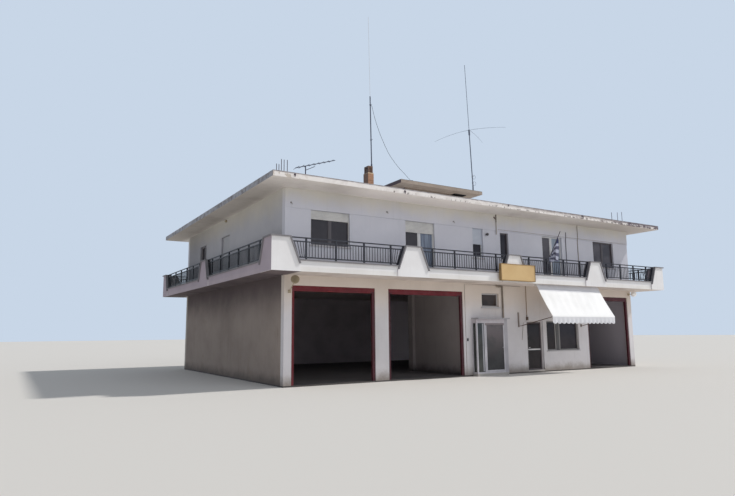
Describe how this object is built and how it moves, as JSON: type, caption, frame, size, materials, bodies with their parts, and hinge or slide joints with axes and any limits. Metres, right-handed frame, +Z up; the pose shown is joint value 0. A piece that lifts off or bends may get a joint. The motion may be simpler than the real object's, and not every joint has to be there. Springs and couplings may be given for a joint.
{
  "type": "fire station building",
  "caption": "Two-storey fire station with vehicle bays and an office below, rooms behind an all-round balcony above, and a flat roof with a stair head, chimney and aerials.",
  "frame": {"origin": "middle of the walls' footprint, on the ground", "axes": "+X along the front from the first bay to the third, +Y from the front to the back, +Z up"},
  "size_m": [21.81, 16.4904, 16.5539],
  "materials": {
    "ground_wall": "matte",
    "shade_wall": "matte",
    "upper_wall": "matte",
    "slab": "matte",
    "floor": "matte",
    "parapet": "matte",
    "railing": "satin",
    "white_frame": "satin",
    "glass": "gloss",
    "shutter": "matte",
    "red_steel": "satin",
    "white_metal": "satin",
    "fabric": "matte",
    "coping": "matte",
    "flag": "matte",
    "sign": "satin",
    "chimney": "matte",
    "roof_room": "matte",
    "mast": "satin",
    "antenna": "satin",
    "starter": "matte",
    "cable": "matte",
    "lamp": "satin"
  },
  "bodies": {
    "building": {"floor_slab": "floor", "front_piers": "ground_wall", "front_lintels": "ground_wall", "office_apron": "ground_wall", "lower_left_wall": "shade_wall", "lower_right_wall": "shade_wall", "lower_back_wall": "shade_wall", "bay_wall_stub": "shade_wall", "upper_floor": "slab", "upper_front_wall": "upper_wall", "upper_left_wall": "upper_wall", "upper_right_wall": "upper_wall", "upper_back_wall": "upper_wall", "roof_slab": "slab", "parapet_walls": "parapet", "parapet_coping": "coping", "middle_towers": "parapet", "corner_towers": "parapet", "front_railings": "railing", "side_railings": "railing", "back_railings": "railing", "window_frames": "white_frame", "window_glass": "glass", "roller_shutters": "shutter", "window_sills": "slab", "bay_jambs": "red_steel", "bay_headers": "red_steel", "door_steps": "slab", "porch_canopy": "slab", "porch_frame": "white_metal", "porch_panels": "white_metal", "porch_side_glass": "glass", "office_door_frame": "white_frame", "awning_tubes": "white_metal", "awning_arms": "white_metal", "awning_fabric": "fabric", "sign_box": "sign", "flagpole": "white_metal", "flag": "flag", "chimney": "chimney", "stair_head_walls": "roof_room", "stair_head_slab": "roof_room", "roof_masts": "mast", "mast_cable": "cable", "cable_cleat": "mast", "tv_antenna": "antenna", "starter_bars": "starter", "wall_lamps": "lamp", "wall_pipes": "lamp"},
    "porch_leaf": {"porch_door": "white_metal", "porch_door_glass": "glass"},
    "office_leaf": {"office_door": "white_frame", "office_door_glass": "glass"}
  },
  "joints": [
    {"name": "porch_door_hinge", "type": "hinge", "parent": "building", "child": "porch_leaf", "pos_m": [-0.7515, -6.933, 0.18], "axis": [0, 0, -1], "range_deg": [0, 90]},
    {"name": "office_door_hinge", "type": "hinge", "parent": "building", "child": "office_leaf", "pos_m": [3.0415, -6.477, 0.12], "axis": [0, 0, -1], "range_deg": [0, 90]}
  ]
}
